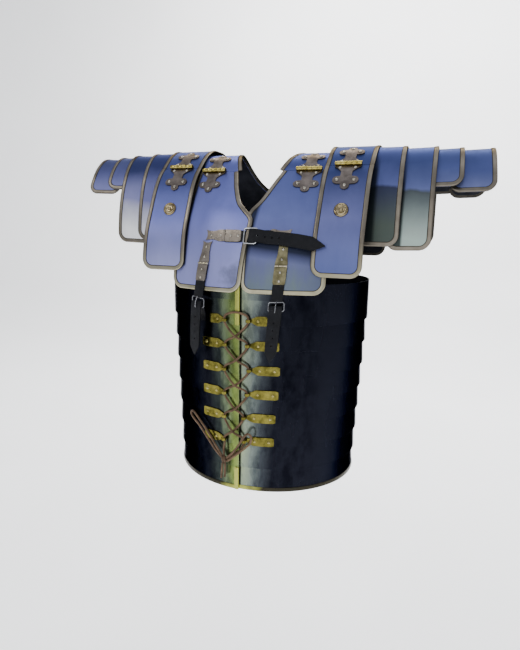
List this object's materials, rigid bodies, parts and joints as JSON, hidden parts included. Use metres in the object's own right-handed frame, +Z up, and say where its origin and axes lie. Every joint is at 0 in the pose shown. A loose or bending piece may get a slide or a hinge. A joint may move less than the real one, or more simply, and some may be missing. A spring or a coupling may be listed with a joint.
{
  "type": "lorica segmentata",
  "caption": "Segmented plate armour for the torso: lapped hoops laced down the front, hinged breastplates, collar plates and curved shoulder guards, worn pose.",
  "frame": {"origin": "between the shoulders, level with the inside of the collar plates, where the wearer bears the armour", "axes": "+Z up, -Y out of the front, +X towards the wearer's left side"},
  "size_m": [0.79, 0.3333, 0.6183],
  "materials": {
    "polished_steel": "polished mild steel with fine wipe marks and brass edge binding",
    "dark_steel": "polished steel that mirrors dark surroundings",
    "fitting_brass": "satin brass, lightly tarnished",
    "hook_brass": "yellow brass, brighter at the rivets",
    "buckle_steel": "bright wire buckle with a short black leather",
    "black_leather": "smooth black strap leather",
    "brown_leather": "plain brown harness leather",
    "lace_leather": "round brown leather thong"
  },
  "bodies": {
    "root": {"hoop_right_1": "dark_steel", "hoop_right_2": "dark_steel", "hoop_right_3": "dark_steel", "hoop_right_4": "dark_steel", "hoop_right_5": "dark_steel", "hoop_right_6": "dark_steel", "hoop_right_7": "dark_steel", "hoop_right_8": "dark_steel", "hoop_left_1": "dark_steel", "hoop_left_2": "dark_steel", "hoop_left_3": "dark_steel", "hoop_left_4": "dark_steel", "hoop_left_5": "dark_steel", "hoop_left_6": "dark_steel", "hoop_left_7": "dark_steel", "hoop_left_8": "dark_steel", "tie_hook_right_1": "hook_brass", "tie_hook_right_2": "hook_brass", "tie_hook_right_3": "hook_brass", "tie_hook_right_4": "hook_brass", "tie_hook_right_5": "hook_brass", "tie_hook_right_6": "hook_brass", "tie_hook_left_1": "hook_brass", "tie_hook_left_2": "hook_brass", "tie_hook_left_3": "hook_brass", "tie_hook_left_4": "hook_brass", "tie_hook_left_5": "hook_brass", "tie_hook_left_6": "hook_brass", "breastplate_right": "polished_steel", "collar_plate_right": "polished_steel", "upper_guard_top_right": "polished_steel", "breastplate_left": "polished_steel", "collar_plate_left": "polished_steel", "upper_guard_front_left": "polished_steel", "upper_guard_top_left": "polished_steel", "lesser_guard_right_1": "polished_steel", "lesser_guard_right_2": "polished_steel", "lesser_guard_right_3": "polished_steel", "lesser_guard_right_4": "polished_steel", "lesser_guard_left_1": "polished_steel", "lesser_guard_left_2": "polished_steel", "lesser_guard_left_3": "polished_steel", "lesser_guard_left_4": "polished_steel", "collar_hinge_right": "fitting_brass", "collar_hinge_left": "fitting_brass", "guard_hinge_left": "fitting_brass", "guard_hinge_right_upper": "fitting_brass", "drop_fitting_right": "fitting_brass", "drop_buckle_right": "buckle_steel", "drop_strap_right": "black_leather", "drop_fitting_left": "fitting_brass", "drop_buckle_left": "buckle_steel", "drop_strap_left": "black_leather", "chest_fitting_right": "fitting_brass", "chest_fitting_left": "fitting_brass", "chest_strap": "black_leather", "back_leather": "brown_leather", "lace": "lace_leather"},
    "guard_flap": {"upper_guard_front_right": "polished_steel", "guard_hinge_right_lower": "fitting_brass"}
  },
  "joints": [
    {"name": "guard_flap_hinge", "type": "hinge", "parent": "root", "child": "guard_flap", "pos_m": [-0.158, -0.06402, -0.02453], "axis": [-1, 0, 0], "range_deg": [0, 100]}
  ]
}
